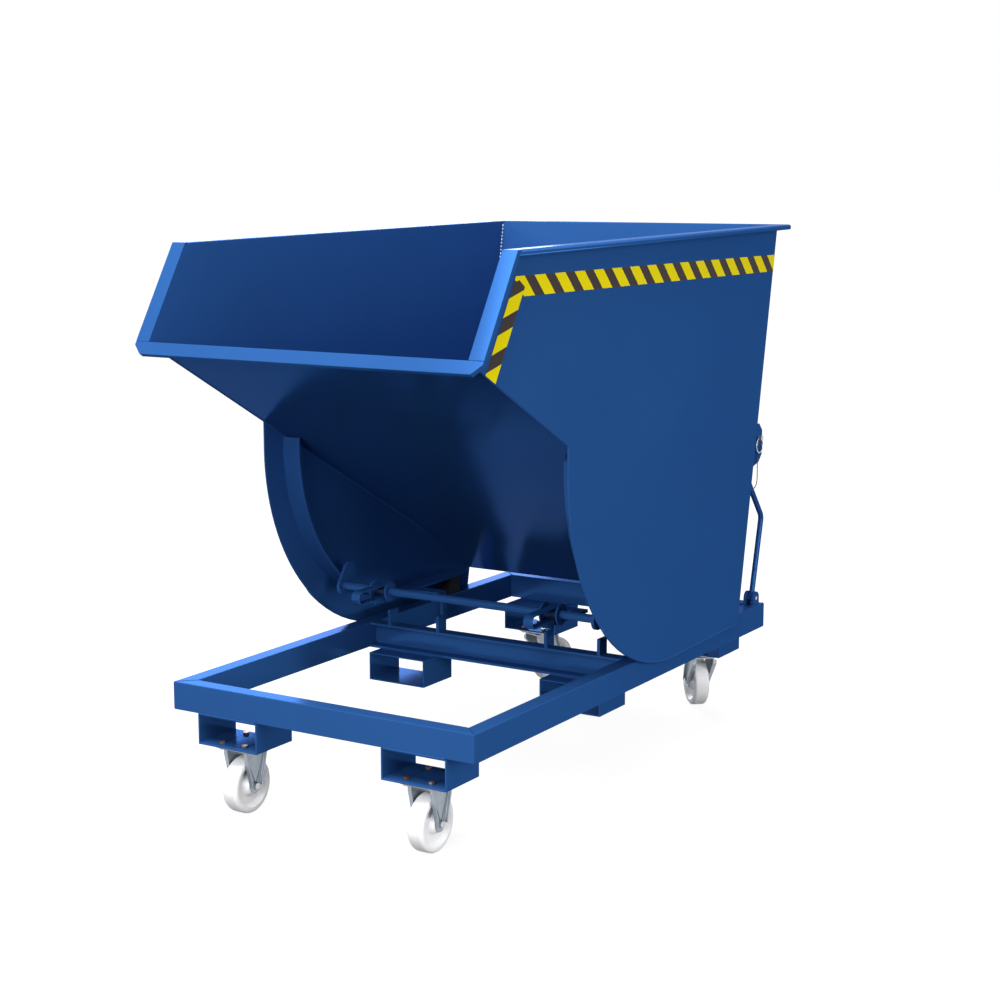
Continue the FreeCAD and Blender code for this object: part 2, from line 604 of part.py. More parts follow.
lugs = new_body("shaft_lugs")
collars = new_body("shaft_collars")
bushes = new_body("bearing_bushes")
bearing_posts = new_body("bearing_posts")
stop_posts = new_body("stop_posts")
post_half = d.post_thickness / 2
strap_half = d.strap_width / 2
strap_inside = d.strap_radius - d.strap_thickness
bush_half = strap_half - d.bush_inset
shelf_top = shaft_z - d.strap_radius
shelf_foot = shelf_top - d.shelf_thickness
post_step = rail_top + d.post_height
leg_front = channel_back - d.post_leg
lug_radius = d.lug_radius
for side, sign in SIDES:
    pad(lugs, "YZ", *to_side(sign, lug_inner, tread_edge), [[
        (-lug_radius, ZERO), (ZERO, -lug_radius, lug_radius, 1), (lug_radius, ZERO, lug_radius, 1),
        (lug_radius, d.lug_length), (ZERO, d.lug_length + lug_radius, lug_radius, 1),
        (-lug_radius, d.lug_length, lug_radius, 1)]], [(ZERO, ZERO, shaft_bore)])

    x = d.bearing_offset * sign
    strap = new_body(f"{side}_bearing_strap")
    pad(strap, "YZ", -strap_half, strap_half, [
        oblong(d.strap_reach, d.strap_radius), oblong(d.strap_reach, strap_inside)])
    place(strap, x, shaft_y, shaft_z)
    pad(bushes, "YZ", x - bush_half, x + bush_half, circles=[
        (ZERO, ZERO, strap_inside - d.hole_gap), (ZERO, ZERO, shaft_bore)])
    for near in (strap_half + d.collar_gap, -strap_half - d.collar_gap - d.collar_thickness):
        pad(collars, "YZ", x + near, x + near + d.collar_thickness, circles=[
            (ZERO, ZERO, d.collar_radius), (ZERO, ZERO, shaft_bore)])

    shelf = new_body(f"{side}_bearing_shelf")
    beam_in, beam_out = d.bearing_offset - strap_half, d.bearing_offset + strap_half
    post_in = d.post_inner - post_half
    shelf_front = shaft_y - d.shelf_reach
    pad(shelf, "XY", shelf_foot, shelf_top, [[
        (post_in * sign, channel_front), (beam_in * sign, channel_front), (beam_in * sign, shelf_front),
        (beam_out * sign, shelf_front), (beam_out * sign, channel_back), (post_in * sign, channel_back)]])
    place(shelf)
    pad(bearing_posts, "YZ", *to_side(sign, post_in, post_in + d.post_thickness), [[
        (channel_front, rail_top), (channel_back, rail_top), (channel_back, shelf_foot),
        (leg_front, shelf_foot), (leg_front, post_step), (channel_front, post_step)]])
    pad(stop_posts, "YZ", *to_side(sign, d.post_outer - post_half, d.post_outer + post_half), [
        rectangle(channel_front, rail_top, channel_back, post_step)])

lug_slope = (d.arc_centre - shaft_y) / (arc_z - shaft_z)
lug_turn = Size(-math.degrees(math.atan(lug_slope.value)), f"(-1 * atan({lug_slope.text}))")
place(lugs, ZERO, shaft_y, shaft_z, (1, 0, 0), lug_turn)
place(collars, ZERO, shaft_y, shaft_z)
place(bushes, ZERO, shaft_y, shaft_z)
place(bearing_posts)
place(stop_posts)

# Latch lever at the rear right corner, between two ears on the rail
lever_x = half_width - d.lever_inset
lever_z = rail_top + d.lever_foot_height
eye_half = d.lever_eye_width / 2
ear_inner = eye_half + d.ear_gap
ear_outer = ear_inner + d.ear_thickness
ear_radius = d.ear_radius
ears = new_body("lever_ears")
for sign in (-1, 1):
    pad(ears, "YZ", *to_side(sign, ear_inner, ear_outer), [[
        (-ear_radius, -d.lever_foot_height), (ear_radius, -d.lever_foot_height), (ear_radius, ZERO),
        (ZERO, ear_radius, ear_radius, 1), (-ear_radius, ZERO, ear_radius, 1)]],
        [(ZERO, ZERO, d.lever_pin + d.hole_gap)])
place(ears, lever_x, d.lever_foot, lever_z)
lever_pin = new_body("lever_pivot_pin")
pad(lever_pin, "YZ", -ear_outer, ear_outer, circles=[(ZERO, ZERO, d.lever_pin)])
place(lever_pin, lever_x, d.lever_foot, lever_z)


def route_wire(points, bend_radius=None):
    """Straight runs joined by tangent arcs: of one radius, or the largest that the runs allow."""
    edges, radii, start = [], [], points[0]
    for before, corner, after in zip(points, points[1:], points[2:]):
        into, out = corner - before, after - corner
        half_turn = math.tan(into.getAngle(out) / 2)
        radius = bend_radius or ARC_RUN_SHARE * min(into.Length, out.Length) / half_turn
        into.normalize()
        out.normalize()
        first, last = corner - into * radius * half_turn, corner + out * radius * half_turn
        sagitta = radius * (math.hypot(1, half_turn) - 1)
        middle = corner + (out - into).normalize() * sagitta
        edges += [Part.LineSegment(start, first).toShape(), Part.Arc(first, middle, last).toShape()]
        radii.append(radius)
        start = last
    edges.append(Part.LineSegment(start, points[-1]).toShape())
    return Part.Wire(edges), radii


def round_bar(route, radius):
    start = route.Edges[0].valueAt(route.Edges[0].FirstParameter)
    direction = route.Edges[0].tangentAt(route.Edges[0].FirstParameter)
    section = Part.Wire([Part.makeCircle(radius, start, direction)])
    return route.makePipeShell([section], True, False)


def shaped(name, shape, x=ZERO, y=ZERO, z=ZERO):
    """A sub-part bent from round bar or wire."""
    thing = doc.addObject("Part::Feature", name)
    thing.Label = name
    thing.Shape = shape
    parts[name] = thing
    place(thing, x, y, z)


knee_z, tip_z = rail_top + d.lever_knee_height, rail_top + d.lever_tip_height
tip_y = d.lever_knee + (tip_z - knee_z) * tangent(d.wall_angle)
back_z = rail_top + d.lever_back_height
lever_corners = [(d.lever_foot, lever_z), (d.lever_back, back_z), (d.lever_knee, knee_z), (tip_y, tip_z)]
lever_points = [FreeCAD.Vector(0, (y - d.lever_foot).value, (z - lever_z).value) for y, z in lever_corners]
lever_route, _ = route_wire(lever_points, d.lever_bend.value)
along = FreeCAD.Vector(1, 0, 0)
eye_end = along * -eye_half.value
eye = Part.makeCylinder(d.lever_eye.value, d.lever_eye_width.value, eye_end, along)
eye_bore = Part.makeCylinder((d.lever_pin + d.running_fit).value, d.lever_eye_width.value, eye_end, along)
lever_shape = round_bar(lever_route, d.lever_bar.value).fuse(eye).cut(eye_bore).removeSplitter()
shaped("latch_lever", lever_shape, lever_x, d.lever_foot, lever_z)

# Catch on the rear wall: two cheeks on a back plate, open to the rear for the lever
catch = new_body("catch_bracket")
cheek_inner = d.lever_bar + d.catch_gap
cheek_outer = cheek_inner + d.catch_plate
pin_z = rail_top + d.pin_height
catch_low, catch_high = pin_z - d.catch_foot, pin_z + d.catch_head
reach, corner = d.catch_reach, d.catch_corner
pad(catch, "YZ", -cheek_outer, cheek_outer, [[
    (wall_y(catch_low), catch_low), (reach - corner, catch_low + corner), (reach, catch_low + corner * 2),
    (reach, catch_high - corner), (reach - corner, catch_high), (wall_y(catch_high), catch_high)]])
catch_run = d.catch_plate / cosine(d.wall_angle)
slot_low, slot_high = catch_low - d.overrun, catch_high + d.overrun
cut(catch, "YZ", -cheek_inner, cheek_inner, [[
    (wall_y(slot_low) + catch_run, slot_low), (reach + d.overrun, slot_low), (reach + d.overrun, slot_high),
    (wall_y(slot_high) + catch_run, slot_high)]])
cut(catch, "YZ", -cheek_outer - d.overrun, cheek_outer + d.overrun,
    circles=[(d.pin_behind, pin_z, d.pin_radius + d.running_fit)])
place(catch, lever_x)

# Locking pin through both cheeks, with a pull ring in its head
head_start = cheek_outer + d.free_gap
head_end = head_start + d.pin_head_length
ring_x = (head_start + head_end) / 2
pin = new_body("locking_pin")
pad(pin, "YZ", -cheek_outer - d.pin_tail, head_end, circles=[(ZERO, ZERO, d.pin_radius)])
pad(pin, "YZ", head_start, head_end, circles=[(ZERO, ZERO, d.pin_head)])
cut(pin, "XZ", -d.pin_head - d.overrun, d.pin_head + d.overrun, circles=[(ring_x, ZERO, d.ring_hole)])
place(pin, lever_x, d.pin_behind, pin_z)

ring = doc.addObject("Part::Torus", "pull_ring")
ring.Label = "pull_ring"
bind(ring, "Radius1", d.ring_radius)
bind(ring, "Radius2", d.ring_wire)
parts["pull_ring"] = ring
place(ring, lever_x + ring_x, d.pin_behind, pin_z - d.ring_radius, (0, 1, 0), 90)

# Tab on the rear wall, and the wire lanyard that ties the pin to it
tab = new_body("lanyard_tab")
tab_low = rail_top + d.tab_height
tab_high = tab_low + d.tab_size
tab_back = wall_y(tab_low) + d.tab_size
pad(tab, "YZ", -d.tab_thickness, ZERO, [[
    (wall_y(tab_low), tab_low), (tab_back, tab_low), (tab_back, tab_high), (wall_y(tab_high), tab_high)]])
place(tab, sized(LANYARD_ROUTE[0][0]) - d.free_gap)

lanyard_wire, lanyard_radii = route_wire([FreeCAD.Vector(*point) for point in LANYARD_ROUTE])
lanyard = round_bar(lanyard_wire, d.lanyard_radius.value)
section = math.pi * d.lanyard_radius.value ** 2
print("lanyard length", round(lanyard_wire.Length, 1), "radii", [round(r, 1) for r in lanyard_radii],
      "volume over section times length", round(lanyard.Volume / (section * lanyard_wire.Length), 4))
shaped("lanyard", lanyard)

# Hazard tape on both side plates: a level band under the rim that turns down along the mouth
tape_top = crest - d.tape_top
tape_foot = tape_top - d.tape_width


def tape_edge(setback, z):
    """A point of a tape edge that runs along the mouth, set back from it."""
    return mouth_y(z) + setback / cosine(lean), z


def tape_end(setback):
    """Where such an edge meets the plate's lower edge."""
    back = setback / skew
    return lip_y + cosine(d.floor_angle) * back, lip_z - sine(d.floor_angle) * back


tape_inner = d.tape_setback + d.tape_width
for side, sign in SIDES:
    tape = new_body(f"{side}_hazard_tape")
    pad(tape, "YZ", *to_side(sign, plate_outer, plate_outer + d.tape_thickness), [[
        tape_end(d.tape_setback), tape_end(tape_inner), tape_edge(tape_inner, tape_foot),
        (wall_y(tape_foot), tape_foot), (wall_y(tape_top), tape_top), tape_edge(d.tape_setback, tape_top)]])
    place(tape)

doc.recompute()
failed = [o.Name for o in doc.Objects if "Invalid" in o.State or "Error" in o.State]
if failed:
    raise RuntimeError("failed objects: " + ", ".join(failed))
for name, thing in parts.items():
    if thing.Shape.isNull() or not thing.Shape.isValid():
        raise RuntimeError("bad shape: " + name)
os.makedirs("parts", exist_ok=True)
for name, thing in parts.items():
    thing.Shape.exportStep(f"parts/{name}.step")
print(len(parts), "sub-parts written")
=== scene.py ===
import bpy
import bmesh
import json
import math
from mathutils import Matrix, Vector


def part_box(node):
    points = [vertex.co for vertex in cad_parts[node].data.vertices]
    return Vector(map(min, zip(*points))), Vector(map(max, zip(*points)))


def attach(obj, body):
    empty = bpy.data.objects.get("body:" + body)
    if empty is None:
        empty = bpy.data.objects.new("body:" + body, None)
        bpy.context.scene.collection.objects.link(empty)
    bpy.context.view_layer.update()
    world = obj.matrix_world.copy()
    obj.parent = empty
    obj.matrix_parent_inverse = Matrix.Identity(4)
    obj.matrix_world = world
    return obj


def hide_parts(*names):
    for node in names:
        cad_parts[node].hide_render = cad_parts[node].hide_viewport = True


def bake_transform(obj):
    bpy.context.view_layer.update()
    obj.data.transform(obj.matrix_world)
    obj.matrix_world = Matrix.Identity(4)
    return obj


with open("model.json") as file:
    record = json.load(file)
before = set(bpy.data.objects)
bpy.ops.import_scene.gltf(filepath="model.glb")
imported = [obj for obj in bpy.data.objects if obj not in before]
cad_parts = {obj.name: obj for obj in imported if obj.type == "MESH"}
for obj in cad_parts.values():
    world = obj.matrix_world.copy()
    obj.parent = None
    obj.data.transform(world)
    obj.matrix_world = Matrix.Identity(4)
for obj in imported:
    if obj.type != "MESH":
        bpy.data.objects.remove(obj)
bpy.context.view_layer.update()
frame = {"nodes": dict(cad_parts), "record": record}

nodes = frame["nodes"]
scene = bpy.context.scene
scene.view_settings.view_transform = "Standard"
print("frame loaded:", len(nodes), "nodes")


# colours are written as on a paint card and turned to linear here
def hexColour(text):
    def toLinear(part):
        share = int(part, 16) / 255
        return share / 12.92 if share <= 0.04045 else ((share + 0.055) / 1.055) ** 2.4
    return (toLinear(text[1:3]), toLinear(text[3:5]), toLinear(text[5:7]), 1.0)


# one node with its settings, socket values and links
def addNode(tree, kind, settings=None, values=None, links=None):
    node = tree.nodes.new(kind)
    for name, value in (settings or {}).items():
        setattr(node, name, value)
    for socket, value in (values or {}).items():
        node.inputs[socket].default_value = value
    for socket, source in (links or {}).items():
        tree.links.new(source, node.inputs[socket])
    return node


# sockets of a Mix node, by number because their names repeat
mixShare, numberA, numberB, colourA, colourB = 0, 2, 3, 6, 7
numberOut, colourOut = 0, 2


def newMaterial(name, values):
    material = bpy.data.materials.new(name)
    material.use_nodes = True
    tree = material.node_tree
    shader = tree.nodes["Principled BSDF"]
    for socket, value in values.items():
        shader.inputs[socket].default_value = value
    place = addNode(tree, "ShaderNodeTexCoord").outputs["Object"]  # metres in the shared frame
    return material, tree, shader, place


def perMetre(millimetres):
    return 1000.0 / millimetres  # texture scale for a pattern of that size


# colour from dark to light and a range of roughness, both led by one pattern
def mottle(tree, shader, look, pattern):
    tint = addNode(tree, "ShaderNodeMix", {"data_type": "RGBA"},
                   {colourA: hexColour(look["dark"]), colourB: hexColour(look["light"])}, {mixShare: pattern})
    tree.links.new(tint.outputs[colourOut], shader.inputs["Base Color"])
    atDark, atLight = look["roughness"]
    rough = addNode(tree, "ShaderNodeMapRange", values={"To Min": atDark, "To Max": atLight},
                    links={"Value": pattern})
    tree.links.new(rough.outputs["Result"], shader.inputs["Roughness"])


# camera of the photograph, place in metres
cameraSettings = {"place": (3.0092, -4.8597, 1.7589), "tiltDeg": 80.47, "turnDeg": 31.54,
                  "lensMm": 69.06, "sensorMm": 36.0}
cameraData = bpy.data.cameras.new("photoCamera")
cameraData.lens = cameraSettings["lensMm"]
cameraData.sensor_width = cameraSettings["sensorMm"]
camera = bpy.data.objects.new("photoCamera", cameraData)
camera.location = cameraSettings["place"]
camera.rotation_euler = (math.radians(cameraSettings["tiltDeg"]), 0, math.radians(cameraSettings["turnDeg"]))
scene.collection.objects.link(camera)
scene.camera = camera
print("camera set")


# gentian blue gloss powder coat: flat sheets mirror their neighbours in blue,
# with a fine orange peel and a slightly cloudy film
paintLook = {"dark": "#244A80", "light": "#275089", "cloudMm": 420, "roughness": (0.11, 0.23),
             "shine": "#B3C4F3", "shineShare": 0.25,
             "wavesMm": 520, "wavesBump": {"Strength": 0.25, "Distance": 0.012},
             "peelMm": 7, "peelBump": {"Strength": 0.12, "Distance": 0.0006}}


def makePaint():
    # all of the gloss is tinted, so it is set as a share of metal and the white gloss is off
    material, tree, shader, place = newMaterial("powderCoatGentianBlue", {
        "Specular IOR Level": 0.0,
        "Metallic": paintLook["shineShare"],
        "Specular Tint": hexColour(paintLook["shine"])})
    cloud = addNode(tree, "ShaderNodeTexNoise",
                    values={"Scale": perMetre(paintLook["cloudMm"]), "Detail": 4.0}, links={"Vector": place})
    mottle(tree, shader, paintLook, cloud.outputs["Fac"])
    # broad sheets are never quite flat
    waves = addNode(tree, "ShaderNodeTexNoise",
                    values={"Scale": perMetre(paintLook["wavesMm"]), "Detail": 1.0}, links={"Vector": place})
    sheetBump = addNode(tree, "ShaderNodeBump", values=paintLook["wavesBump"],
                        links={"Height": waves.outputs["Fac"]})
    # the real peel is about 2 mm, drawn coarser so that it shows
    peel = addNode(tree, "ShaderNodeTexNoise",
                   values={"Scale": perMetre(paintLook["peelMm"]), "Detail": 2.0}, links={"Vector": place})
    peelBump = addNode(tree, "ShaderNodeBump", values=paintLook["peelBump"],
                       links={"Height": peel.outputs["Fac"], "Normal": sheetBump.outputs["Normal"]})
    tree.links.new(peelBump.outputs["Normal"], shader.inputs["Normal"])
    return material


# bright zinc plating on pressed steel: bluish grey satin with faint rolling streaks and cloudy patches
zincLook = {"dark": "#848D97", "light": "#A6AEB7", "patchMm": 18, "roughness": (0.28, 0.48),
            "streakMm": 1.5, "streakStretch": (1.0, 1.0, 0.05),
            "streakBump": {"Strength": 0.08, "Distance": 0.0003}}


def makeZinc():
    material, tree, shader, place = newMaterial("zincPlatedSteel", {"Metallic": 0.85})
    patch = addNode(tree, "ShaderNodeTexNoise",
                    values={"Scale": perMetre(zincLook["patchMm"]), "Detail": 5.0}, links={"Vector": place})
    mottle(tree, shader, zincLook, patch.outputs["Fac"])
    along = addNode(tree, "ShaderNodeMapping", values={"Scale": zincLook["streakStretch"]},
                    links={"Vector": place})
    streak = addNode(tree, "ShaderNodeTexNoise",
                     values={"Scale": perMetre(zincLook["streakMm"]), "Detail": 2.0},
                     links={"Vector": along.outputs["Vector"]})
    bump = addNode(tree, "ShaderNodeBump", values=zincLook["streakBump"],
                   links={"Height": streak.outputs["Fac"]})
    tree.links.new(bump.outputs["Normal"], shader.inputs["Normal"])
    return material


# cast polyamide wheels: milky white, half matt, with a faint grey mottling and a fine grain
polyamideLook = {"dark": "#F1F1F4", "light": "#FBFBFC", "cloudMm": 30, "roughness": (0.36, 0.52),
                 "milkDepth": (0.006, 0.006, 0.005),
                 "grainMm": 3, "grainBump": {"Strength": 0.1, "Distance": 0.0004}}


def makePolyamide():
    material, tree, shader, place = newMaterial("castPolyamideWhite", {
        "IOR": 1.53,
        "Subsurface Weight": 0.12,
        "Subsurface Radius": polyamideLook["milkDepth"],
        "Subsurface Scale": 1.0})
    cloud = addNode(tree, "ShaderNodeTexNoise",
                    values={"Scale": perMetre(polyamideLook["cloudMm"]), "Detail": 3.0},
                    links={"Vector": place})
    mottle(tree, shader, polyamideLook, cloud.outputs["Fac"])
    grain = addNode(tree, "ShaderNodeTexNoise",
                    values={"Scale": perMetre(polyamideLook["grainMm"]), "Detail": 3.0},
                    links={"Vector": place})
    bump = addNode(tree, "ShaderNodeBump", values=polyamideLook["grainBump"],
                   links={"Height": grain.outputs["Fac"]})
    tree.links.new(bump.outputs["Normal"], shader.inputs["Normal"])
    return material


# main faces of the skip that its tape, rim and seams follow, places (y, z) and half widths in metres
skipFaces = {"lip": (-0.9405, 1.319), "mouthLeanDeg": 31.3, "floorFallDeg": 28.4, "rimRiseDeg": 0.95,
             "wallFoot": (0.6615, 0.348), "wallLeanDeg": 11.0, "inside": 0.512, "outside": 0.516}

# printed vinyl tape: flat yellow with brownish black bars at 45 degrees,
# one strip along the rim and one down the mouth
tapeLook = {"yellow": "#E9D802", "black": "#393130", "periodMm": 104.1, "yellowShare": 0.53,
            "rimStartMm": 886.0, "mouthStartMm": 613.0,  # where a yellow bar starts on each strip
            "mouthEdgeMm": 137.3,  # back edge of the mouth strip, behind the lip
            "pointMm": (-705.0, 1506.0), "pointRise": 0.208, "pointFall": 0.656,  # its upper end
            "grainMm": 4, "grainBump": {"Strength": 0.12, "Distance": 0.0003}, "roughness": (0.42, 0.58)}


def makeTape():
    material, tree, shader, place = newMaterial("printedVinylTape", {"IOR": 1.5, "Specular IOR Level": 0.06})
    period = tapeLook["periodMm"] / 1000
    lean = math.radians(skipFaces["mouthLeanDeg"])
    along = Vector((0, math.sin(lean), math.cos(lean)))
    across = Vector((0, math.cos(lean), -math.sin(lean)))
    lipAcross = across.dot(Vector((0, *skipFaces["lip"])))
    # bars at 45 degrees to the rim strip, then to the mouth strip
    rimStart = tapeLook["rimStartMm"] / 1000
    mouthStart = tapeLook["mouthStartMm"] / 1000 - lipAcross
    bars = []
    for direction, start in ((Vector((0, 1, 1)), rimStart), (along - across, mouthStart)):
        run = addNode(tree, "ShaderNodeVectorMath", {"operation": "DOT_PRODUCT"},
                      {1: direction / period}, {0: place})
        turn = addNode(tree, "ShaderNodeMath", {"operation": "SUBTRACT"},
                       {1: start / period}, {0: run.outputs["Value"]})
        part = addNode(tree, "ShaderNodeMath", {"operation": "FRACT"}, links={0: turn.outputs[0]})
        bars.append(addNode(tree, "ShaderNodeMath", {"operation": "LESS_THAN"},
                            {1: tapeLook["yellowShare"]}, {0: part.outputs[0]}))
    # the mouth strip lies on top and ends in a blunt point
    pointY, pointZ = (value / 1000 for value in tapeLook["pointMm"])
    rise, fall = tapeLook["pointRise"], tapeLook["pointFall"]
    limits = ((across, lipAcross + tapeLook["mouthEdgeMm"] / 1000),
              (Vector((0, -rise, 1)), pointZ - pointY * rise),
              (Vector((0, fall, 1)), pointZ + pointY * fall))
    within = []
    for direction, limit in limits:
        reach = addNode(tree, "ShaderNodeVectorMath", {"operation": "DOT_PRODUCT"},
                        {1: direction}, {0: place})
        within.append(addNode(tree, "ShaderNodeMath", {"operation": "LESS_THAN"},
                              {1: limit}, {0: reach.outputs["Value"]}))
    onMouth = within[0]
    for edge in within[1:]:
        onMouth = addNode(tree, "ShaderNodeMath", {"operation": "MULTIPLY"},
                          links={0: onMouth.outputs[0], 1: edge.outputs[0]})
    yellow = addNode(tree, "ShaderNodeMix", {"data_type": "FLOAT"}, links={
        mixShare: onMouth.outputs[0], numberA: bars[0].outputs[0], numberB: bars[1].outputs[0]})
    colour = addNode(tree, "ShaderNodeMix", {"data_type": "RGBA"},
                     {colourA: hexColour(tapeLook["black"]), colourB: hexColour(tapeLook["yellow"])},
                     {mixShare: yellow.outputs[numberOut]})
    tree.links.new(colour.outputs[colourOut], shader.inputs["Base Color"])
    grain = addNode(tree, "ShaderNodeTexNoise",
                    values={"Scale": perMetre(tapeLook["grainMm"]), "Detail": 3.0}, links={"Vector": place})
    bump = addNode(tree, "ShaderNodeBump", values=tapeLook["grainBump"],
                   links={"Height": grain.outputs["Fac"]})
    tree.links.new(bump.outputs["Normal"], shader.inputs["Normal"])
    smoothest, roughest = tapeLook["roughness"]
    rough = addNode(tree, "ShaderNodeMapRange", values={"To Min": smoothest, "To Max": roughest},
                    links={"Value": grain.outputs["Fac"]})
    tree.links.new(rough.outputs["Result"], shader.inputs["Roughness"])
    return material


# drawn bright steel: clean grey metal with fine lines along the drawing direction
steelLook = {"dark": "#A9ACAF", "light": "#C9CBCD", "roughness": (0.22, 0.42),
             "lineMm": 1.2, "lineStretch": (0.08, 1.0, 1.0)}


def makeSteel():
    material, tree, shader, place = newMaterial("drawnBrightSteel", {"Metallic": 1.0})
    along = addNode(tree, "ShaderNodeMapping", values={"Scale": steelLook["lineStretch"]},
                    links={"Vector": place})
    lines = addNode(tree, "ShaderNodeTexNoise",
                    values={"Scale": perMetre(steelLook["lineMm"]), "Detail": 3.0},
                    links={"Vector": along.outputs["Vector"]})
    mottle(tree, shader, steelLook, lines.outputs["Fac"])
    return material


# yellow passivated zinc on the plate bolts: pale grey to copper tones that shift from head to head
boltLook = {"pale": "#B9B4AA", "copper": "#8F5A41", "shiftMm": 45, "shiftRange": (0.35, 0.65),
            "roughness": (0.24, 0.49)}


def makeBoltZinc():
    material, tree, shader, place = newMaterial("yellowPassivatedZinc", {"Metallic": 0.9})
    shift = addNode(tree, "ShaderNodeTexNoise",
                    values={"Scale": perMetre(boltLook["shiftMm"]), "Detail": 3.0}, links={"Vector": place})
    allCopper, allPale = boltLook["shiftRange"]
    tone = addNode(tree, "ShaderNodeMapRange", values={"From Min": allCopper, "From Max": allPale},
                   links={"Value": shift.outputs["Fac"]})
    tint = addNode(tree, "ShaderNodeMix", {"data_type": "RGBA"},
                   {colourA: hexColour(boltLook["copper"]), colourB: hexColour(boltLook["pale"])},
                   {mixShare: tone.outputs["Result"]})
    tree.links.new(tint.outputs[colourOut], shader.inputs["Base Color"])
    smoothest, roughest = boltLook["roughness"]
    rough = addNode(tree, "ShaderNodeMapRange", values={"To Min": smoothest, "To Max": roughest},
                    links={"Value": shift.outputs["Fac"]})
    tree.links.new(rough.outputs["Result"], shader.inputs["Roughness"])
    return material


# sintered bearing bronze under blue overspray: the paint mist covers most of the brown, with fine pores;
# brown and mist are both kept dark as painted shade for the hollow inside the strap loops
bronzeLook = {"bronze": "#3A3026", "pore": "#1E1A18", "poreMm": 1.5, "roughness": (0.5, 0.38),
              "mistAndShade": "#1B3A68", "mistMm": 30, "mistRange": (0.3, 0.55)}


def makeBronze():
    material, tree, shader, place = newMaterial("sinteredBronze", {
        "Metallic": 0.2,
        "Specular IOR Level": 0.1})
    pores = addNode(tree, "ShaderNodeTexVoronoi", values={"Scale": perMetre(bronzeLook["poreMm"])},
                    links={"Vector": place})
    tint = addNode(tree, "ShaderNodeMix", {"data_type": "RGBA"},
                   {colourA: hexColour(bronzeLook["pore"]), colourB: hexColour(bronzeLook["bronze"])},
                   {mixShare: pores.outputs["Distance"]})
    drift = addNode(tree, "ShaderNodeTexNoise",
                    values={"Scale": perMetre(bronzeLook["mistMm"]), "Detail": 3.0}, links={"Vector": place})
    bare, covered = bronzeLook["mistRange"]
    cover = addNode(tree, "ShaderNodeMapRange", values={"From Min": bare, "From Max": covered},
                    links={"Value": drift.outputs["Fac"]})
    # the mist colour is darker than the paint: overspray with painted shade
    mistedShadedBronze = addNode(tree, "ShaderNodeMix", {"data_type": "RGBA"}, {colourB: hexColour(bronzeLook["mistAndShade"])},
                     {mixShare: cover.outputs["Result"], colourA: tint.outputs[colourOut]})
    tree.links.new(mistedShadedBronze.outputs[colourOut], shader.inputs["Base Color"])
    inPores, between = bronzeLook["roughness"]
    rough = addNode(tree, "ShaderNodeMapRange", values={"To Min": inPores, "To Max": between},
                    links={"Value": pores.outputs["Distance"]})
    tree.links.new(rough.outputs["Result"], shader.inputs["Roughness"])
    return material


# moulded black rubber: deep grey, matt, with a faint bloom
rubberLook = {"dark": "#101113", "light": "#1A1C20", "bloomMm": 25, "roughness": (0.62, 0.8),
              "grainMm": 2, "grainBump": {"Strength": 0.25, "Distance": 0.0004}}


def makeRubber():
    material, tree, shader, place = newMaterial("mouldedRubber", {"IOR": 1.52, "Specular IOR Level": 0.1})
    bloom = addNode(tree, "ShaderNodeTexNoise",
                    values={"Scale": perMetre(rubberLook["bloomMm"]), "Detail": 4.0}, links={"Vector": place})
    mottle(tree, shader, rubberLook, bloom.outputs["Fac"])
    grain = addNode(tree, "ShaderNodeTexNoise",
                    values={"Scale": perMetre(rubberLook["grainMm"]), "Detail": 2.0}, links={"Vector": place})
    bump = addNode(tree, "ShaderNodeBump", values=rubberLook["grainBump"],
                   links={"Height": grain.outputs["Fac"]})
    tree.links.new(bump.outputs["Normal"], shader.inputs["Normal"])
    return material


# thin steel rope in a dark plastic coat: nearly black, satin, uneven where the strands press through
ropeLook = {"dark": "#141C2A", "light": "#2B3646", "roughness": (0.32, 0.5),
            "strandMm": 4, "strandBump": {"Strength": 0.3, "Distance": 0.0004}}


def makeRope():
    material, tree, shader, place = newMaterial("coatedSteelRope", {"IOR": 1.5, "Specular IOR Level": 0.3})
    strands = addNode(tree, "ShaderNodeTexNoise",
                      values={"Scale": perMetre(ropeLook["strandMm"]), "Detail": 2.0},
                      links={"Vector": place})
    mottle(tree, shader, ropeLook, strands.outputs["Fac"])
    bump = addNode(tree, "ShaderNodeBump", values=ropeLook["strandBump"],
                   links={"Height": strands.outputs["Fac"]})
    tree.links.new(bump.outputs["Normal"], shader.inputs["Normal"])
    return material


paint, zinc, polyamide, tape = makePaint(), makeZinc(), makePolyamide(), makeTape()
steel, boltZinc, bronze, rubber, rope = makeSteel(), makeBoltZinc(), makeBronze(), makeRubber(), makeRope()
print("materials made")

# which finish each material slot has
finishes = {"blue_paint": paint, "zinc_plate": zinc, "bright_steel": steel, "white_polyamide": polyamide,
            "hazard_tape": tape, "bronze": bronze, "rubber": rubber}
# how far edges are broken, in millimetres, by the last word of a piece's name
edgeBreaksMm = {"rail": 3.0, "pads": 3.0, "pocket": 2.0, "band": 1.5,
                "channel": 1.2, "fork": 1.2, "wheel": 1.2, "tread": 1.2, "posts": 1.2, "shelf": 1.2,
                "strap": 1.2, "lugs": 1.2, "ears": 1.2, "bracket": 1.0,
                "plate": 0.9, "sheet": 0.9, "wall": 0.9,
                "axle": 0.8, "axles": 0.8, "collars": 0.8, "tab": 0.8, "shaft": 0.8, "lever": 0.8,
                "bolts": 0.7, "pin": 0.6, "pins": 0.6}
# only edges sharper than sharpDeg are broken, and those wider than roundFromMm get a third step
edgeSettings = {"mergeMm": 0.02, "sharpDeg": 38, "roundFromMm": 1.6, "faceWeight": 90}


